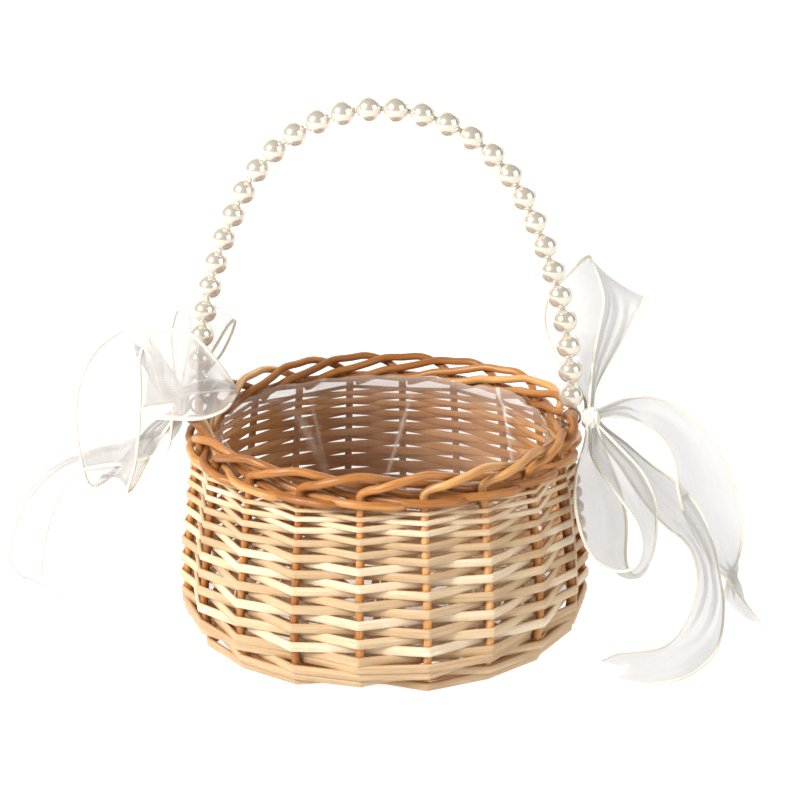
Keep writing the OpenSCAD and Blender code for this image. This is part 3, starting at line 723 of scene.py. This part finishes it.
def ribbon(name, body, nodes_replaced, left, right, seed, bulge=1.0, pleats=1.0, weight=1.0, parts=9,
           swallow=False, sways=None):
    """A strip between two edge lines, bulged across and pleated at the knot."""
    left = [Vector(p) for p in smooth_line([Vector(p) / 1000 for p in left], parts)]
    right = [Vector(p) for p in smooth_line([Vector(p) / 1000 for p in right], parts)]
    n, m = len(left), 31
    run, grid = 0.0, []
    verts, faces, along, across = [], [], [], []
    for i in range(n):
        near_end = min(1.0, (n - 1 - i) / 12) if swallow else 1.0
        mid = (left[i] + right[i]) / 2
        if i:
            run += (mid - last).length
        last = mid
        on, before = min(i + 1, n - 1), max(i - 1, 0)
        ahead = (left[on] + right[on] - left[before] - right[before]).normalized()
        wide = right[i] - left[i]
        out = ahead.cross(wide).normalized()
        span = wide.length
        # small pleats take up the width at the knot, a soft bulge further out
        spare = math.sqrt(max(0.0, ribbon_width ** 2 - span ** 2))
        gather = spare / 16 * min(1.0, max(0.0, (0.031 - span) / 0.017)) * pleats * near_end
        cup = math.sqrt(max(0.0, 0.375 * span * (ribbon_width - span))) * 0.85 * bulge * near_end
        cup *= min(1.0, max(0.0, (span - 0.010) / 0.012))
        row = []
        for j in range(m):
            v = j / (m - 1)
            pleat = math.sin(v * math.tau * 3 + seed + run * 8) * gather
            wave = noise.noise(Vector((run * 20 + seed, v * 1.3, seed))) * 0.0016 * min(1, span / 0.02)
            p = left[i] + wide * v + out * (pleat + wave + cup * (1 - (2 * v - 1) ** 2))
            if swallow and i >= n - cut_rows:
                p -= ahead * cut_depth * (1 - abs(v - 0.5) * 2) * (1 - (n - 1 - i) / cut_rows)
            p.z = max(p.z, 0.0007 + 0.0003 * (j % 2 == 0))
            row.append(len(verts))
            verts.append(p)
            along.append(run)
            across.append(v)
        grid.append(row)
    for a, b in zip(grid, grid[1:]):
        for j in range(m - 1):
            faces.append((a[j], a[j + 1], b[j + 1], b[j]))
    mesh = bpy.data.meshes.new(name)
    mesh.from_pydata([tuple(p) for p in verts], [], faces)
    for key, values in (("along", along), ("across", across), ("weight", [weight] * len(verts))):
        mesh.attributes.new(key, "FLOAT", "POINT").data.foreach_set("value", np.array(values, np.float32))
    mesh.materials.append(ribbon_cloth)
    mesh.shade_smooth()
    strip = bpy.data.objects.new(name, mesh)
    bpy.context.scene.collection.objects.link(strip)
    edges = [([verts[row[at]] for row in grid], [1.0] * n, shade) for at, shade in ((0, 0.4), (-1, 0.6))]
    cords = rod_recipe.grow(name + "_edges", route(name, edges), thickness=0.00075, sides=8, finish=stitch)
    for piece in (strip, cords):
        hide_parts(*nodes_replaced)
        if sways:
            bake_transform(piece)
        else:
            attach(piece, body)


# each line is an edge of the ribbon, in millimetres, from the knot outwards
ribbon("right_upper_loop", "handle", ["bow_right_upper_loop"],
       [(99.5, 2.5, 107), (98.6, 5.0, 113), (91, 11, 121), (83, 16, 132), (77.5, 21, 147), (80, 24, 160),
        (89, 25, 171), (98, 22, 180), (101, 16, 177), (106, 11.5, 162), (104.5, 9, 148), (102, 6.5, 132),
        (101, 3.0, 118), (101, 1.0, 107)],
       [(104, 2.5, 107), (104.5, 5.5, 113), (105.5, 9.5, 120), (110, 15, 128), (116, 21, 138),
        (121, 25, 149), (125, 26, 156.5), (126.5, 22, 160), (125, 16, 158), (122, 11.5, 150),
        (116.5, 8.5, 139), (109, 6.5, 127), (104.5, 3.5, 117), (104, 1.0, 107)],
       seed=1.3, bulge=-0.35, parts=8, pleats=0.85)
ribbon("right_lower_loop", "basket", ["bow_right_lower_loop"],
       [(100, -3, 101.5), (98.8, -12, 95), (97.2, -22, 90), (95.9, -31, 83.5), (95.6, -38, 75.6),
        (96.6, -41, 68.7), (99.5, -42, 58), (105.4, -41, 47), (114, -40, 41), (121.5, -39, 40.5),
        (126.4, -37, 43.8), (128.1, -35, 51.8), (126.1, -31, 59.7), (120.9, -26, 67.1), (114.4, -20, 74.2),
        (107.8, -14, 81.3), (102.4, -8, 89.9), (102, -3.5, 101.5)],
       [(104.5, -2, 101.5), (106.5, -3, 94), (110, -4, 86), (114.5, -5, 76.5), (118.5, -7, 66),
        (121, -9, 57), (122, -11, 48), (122.3, -12, 40), (123, -13, 33), (125.3, -14, 29),
        (128.8, -14, 29.6), (132.2, -13, 34), (135, -12, 41.5), (136, -10, 52), (134.7, -8, 65),
        (129, -6, 77), (120, -4, 87), (105, -2, 101.5)],
       seed=2.1, bulge=-0.35, parts=6, pleats=0.6)
ribbon("right_rear_tail", "basket", ["bow_right_tail_rear"],
       [(103.5, -2.4, 104.6), (108, -3, 105.6), (119, -3.5, 106), (129.5, -3, 101.8), (138, 0, 94.2),
        (144, 3, 82.6), (147, 4, 66), (152, 5, 50), (160, 6, 35.5), (168, 5, 25.5), (176, 3, 19.5),
        (184, -5, 9), (190, -11, 1.8)],
       [(103.5, 2.4, 104.6), (108, 2.5, 108.6), (120, 10.5, 111.6), (133.6, 20, 109), (147, 25, 101.2),
        (160, 27, 89.2), (171, 27, 73.2), (178, 26, 53.3), (181, 23, 38), (180.3, 17, 26.6),
        (177.7, 14, 20.5), (174.5, 12, 12.5), (172.8, 9, 6.5)],
       seed=3.7, bulge=-0.5)
ribbon("right_front_tail", "basket", ["bow_right_tail_front"],
       [(103.8, -1, 100.5), (107.5, 4, 93), (119, 9, 76), (131, 10, 57), (141, 7, 46), (150, 1, 41),
        (155, -8, 36), (157, -18, 29), (154, -28, 19), (148, -36, 9), (140, -41, 3), (130, -44, 1.8),
        (119, -48, 1.8), (110, -58, 1.8)],
       [(104.2, 2, 103), (108, 7, 98), (120, 15, 87), (134, 17, 74), (147, 13, 66), (157, 6, 56),
        (164, -3, 43), (168, -13, 30), (170, -24, 18), (167, -40, 6), (158, -57, 1.8), (146, -73, 1.8),
        (131, -80, 1.8), (117, -77, 1.8)],
       swallow=True, seed=4.2, bulge=0.6, pleats=1.0, weight=1.15)
ribbon("left_front_lobe", "handle", ["bow_left_upper_loop"],
       [(-104, -3.4, 108), (-111, -9, 108), (-117, -17, 108), (-111, -26, 106.5), (-96, -31, 107.5),
        (-84, -32, 108.5), (-75, -28, 111), (-71.5, -22, 114), (-71, -16.5, 117), (-78, -11, 116),
        (-88, -9, 114), (-100, -2.0, 110.6)],
       [(-99, -3.4, 112), (-106, -9, 128), (-113, -14, 141), (-107, -20, 147.5), (-94, -24, 150),
        (-86, -25, 145.5), (-79, -23, 136), (-73.5, -19, 126), (-71.5, -15, 119), (-78, -10, 120),
        (-88, -8.5, 120), (-102, -2.0, 113)],
       seed=5.5, bulge=-0.8, sways=((-0.1, -0.02, 0.108), (-0.1, -0.02, 0.142)), pleats=0.65, weight=1.1)
ribbon("left_back_lobe", "handle", ["bow_left_upper_loop"],
       [(-104, 3.0, 107.5), (-107, 9, 122), (-108.5, 13, 136), (-105, 15, 149), (-99, 12, 146),
        (-99, 10, 132), (-101, 8, 121), (-102, 1.0, 107.5)],
       [(-99, 3.0, 107.5), (-90.5, 7, 119), (-82, 11, 129), (-76, 14, 143), (-79, 11, 142), (-85, 9, 132),
        (-92, 6.5, 121), (-100, 1.0, 107.5)],
       seed=0.6, parts=12, pleats=0.4, weight=0.45)
ribbon("left_hanging_loop", "basket", ["bow_left_hanging_loop"],
       [(-103.5, 2.4, 104.6), (-112, 7, 113), (-114.5, 10, 126), (-120, 10, 137), (-130, 9, 139.5),
        (-138, 8, 136), (-147, 8, 128), (-154, 8, 116), (-157.5, 8, 103), (-158.5, 8, 89), (-157, 8, 73),
        (-153, 8, 57), (-144, 12, 60), (-131, 10, 77), (-118, 7, 92), (-104, 2.4, 101)],
       [(-103.5, -2.4, 104.6), (-110, -5, 112), (-111.5, -8, 123), (-113.5, -9, 132), (-117.5, -9, 136.5),
        (-119.5, -9, 130), (-120, -8, 119), (-120.5, -8, 108), (-121.5, -8, 98), (-122.5, -8, 88),
        (-125, -8, 74), (-130, -6, 59), (-128, 0, 60), (-121, 2, 74), (-113, -1.5, 88), (-104, -2.4, 101)],
       seed=6.1, bulge=-0.9, pleats=0.7)
ribbon("left_long_tail", "basket", ["bow_left_tail_long"],
       [(-102.5, 2.4, 101.5), (-110, 12, 86), (-125, 18, 78), (-142, 20, 72), (-158, 20, 67),
        (-172, 20, 59), (-185, 20, 47), (-195, 19, 32), (-200, 16, 18), (-201, 16, 5), (-191, 8, 1.8)],
       [(-102.5, -2.4, 101.5), (-106.5, -5, 82), (-119, 0, 74), (-134, 4, 68), (-148, 7, 65), (-159, 8, 61),
        (-168, 6, 51), (-174, 3, 38), (-177, 0, 24), (-178, -3, 8), (-165, -10, 1.8)],
       swallow=True, seed=7.9, bulge=1.0, pleats=1.1)

# the knots: the ribbon wound tightly round itself, creased where it is pulled
f = Finish("gathered_ribbon")
gather = f.node("TexWave", {"wave_type": "BANDS", "bands_direction": "X"},
                {"Vector": f.place(), "Scale": 160.0, "Distortion": 3.0, "Detail": 2.0})
# darker along the crease bands: painted shade in the creases
colour = f.blendin(gather, (0.64, 0.60, 0.51), (0.82, 0.79, 0.72))
gathered = f.done(f.shade(Base_Color=colour, Roughness=0.45, Sheen_Weight=0.5, Normal=f.bump(gather, 0.5, 0.0006)))
longer, rounder = 1.18, 1.08
for side, name in ((1, "bow_right_knot"), (-1, "bow_left_knot")):
    low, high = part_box(name)
    mid = (low + high) / 2
    verts, faces = [], []
    rings, spokes = 15, 44
    for i in range(rings):
        t = i / (rings - 1)
        x = (t - 0.5) * (high.x - low.x) * longer
        for j in range(spokes):
            a = j / spokes * math.tau
            r = (high.z - low.z) / 2 * rounder * (math.sin(math.pi * min(1, max(0, t * 0.86 + 0.07))) ** 0.42)
            r *= 0.93 + 0.06 * math.sin(a * 3 + x * 900 + side) + 0.03 * math.sin(a * 7 - x * 1500)
            verts.append((mid.x + x * side, mid.y + r * math.sin(a), mid.z + r * math.cos(a)))
    for i in range(rings - 1):
        for j in range(spokes):
            j2 = (j + 1) % spokes
            faces.append((i * spokes + j, i * spokes + j2, (i + 1) * spokes + j2, (i + 1) * spokes + j))
    faces.append(tuple(range(spokes)))
    faces.append(tuple((rings - 1) * spokes + j for j in range(spokes - 1, -1, -1)))
    mesh = bpy.data.meshes.new(name.replace("bow_", "tied_"))
    mesh.from_pydata(verts, [], faces)
    tidy = bmesh.new()
    tidy.from_mesh(mesh)
    bmesh.ops.recalc_face_normals(tidy, faces=tidy.faces)
    tidy.to_mesh(mesh)
    tidy.free()
    mesh.materials.append(gathered)
    mesh.shade_smooth()
    knot = bpy.data.objects.new(mesh.name, mesh)
    bpy.context.scene.collection.objects.link(knot)
    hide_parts(name)
    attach(knot, "handle")

# ------------------------------------------------------------------ studio
# A wide pale floor that curves up behind, a large soft key light high on the
# left, a weaker fill from the right and a small light behind for the rim.
mesh = bpy.data.meshes.new("studio_floor")
cove = [(2.0 + 1.5 * math.sin(t), 1.5 - 1.5 * math.cos(t)) for t in np.linspace(0.1, math.pi / 2, 12)]
sweep = [(-6.0, 0.0), (2.0, 0.0)] + cove + [(3.5, 6.0)]
mesh.from_pydata([(x, y, z) for y, z in sweep for x in (-8, 8)], [],
                 [(2 * i, 2 * i + 1, 2 * i + 3, 2 * i + 2) for i in range(len(sweep) - 1)])
mesh.shade_smooth()
f = Finish("studio_paper")
paper = f.done(f.shade(Base_Color=(0.27, 0.27, 0.27, 1.0), Roughness=0.9,
                       Emission_Color=(1.0, 1.0, 1.0, 1.0), Emission_Strength=0.90))
mesh.materials.append(paper)
studio_floor = bpy.data.objects.new("studio_floor", mesh)
bpy.context.scene.collection.objects.link(studio_floor)
studio_floor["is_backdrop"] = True
for name, place, aim, size, power, tint in (
        ("key", (-0.95, -0.95, 0.95), (0, 0, 0.1), 0.6, 42.0, (1.0, 0.985, 0.96)),
        ("fill", (1.3, -0.7, 0.7), (0, 0, 0.1), 1.0, 11.0, (1.0, 1.0, 1.0)),
        ("rim", (0.5, 1.2, 1.0), (0, 0, 0.15), 0.8, 8.0, (1.0, 1.0, 1.0))):
    lamp = bpy.data.lights.new(name, "AREA")
    lamp.shape, lamp.size, lamp.energy, lamp.color = "SQUARE", size, power, tint
    holder = bpy.data.objects.new(name, lamp)
    holder.location = place
    holder.rotation_euler = (Vector(place) - Vector(aim)).to_track_quat("Z", "Y").to_euler()
    bpy.context.scene.collection.objects.link(holder)
sky = bpy.data.worlds.new("studio")
sky.use_nodes = True
sky.node_tree.nodes["Background"].inputs[0].default_value = (1.0, 1.0, 1.0, 1.0)
sky.node_tree.nodes["Background"].inputs[1].default_value = 0.12
bpy.context.scene.world = sky
bpy.context.scene.view_settings.view_transform = "Standard"

low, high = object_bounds()
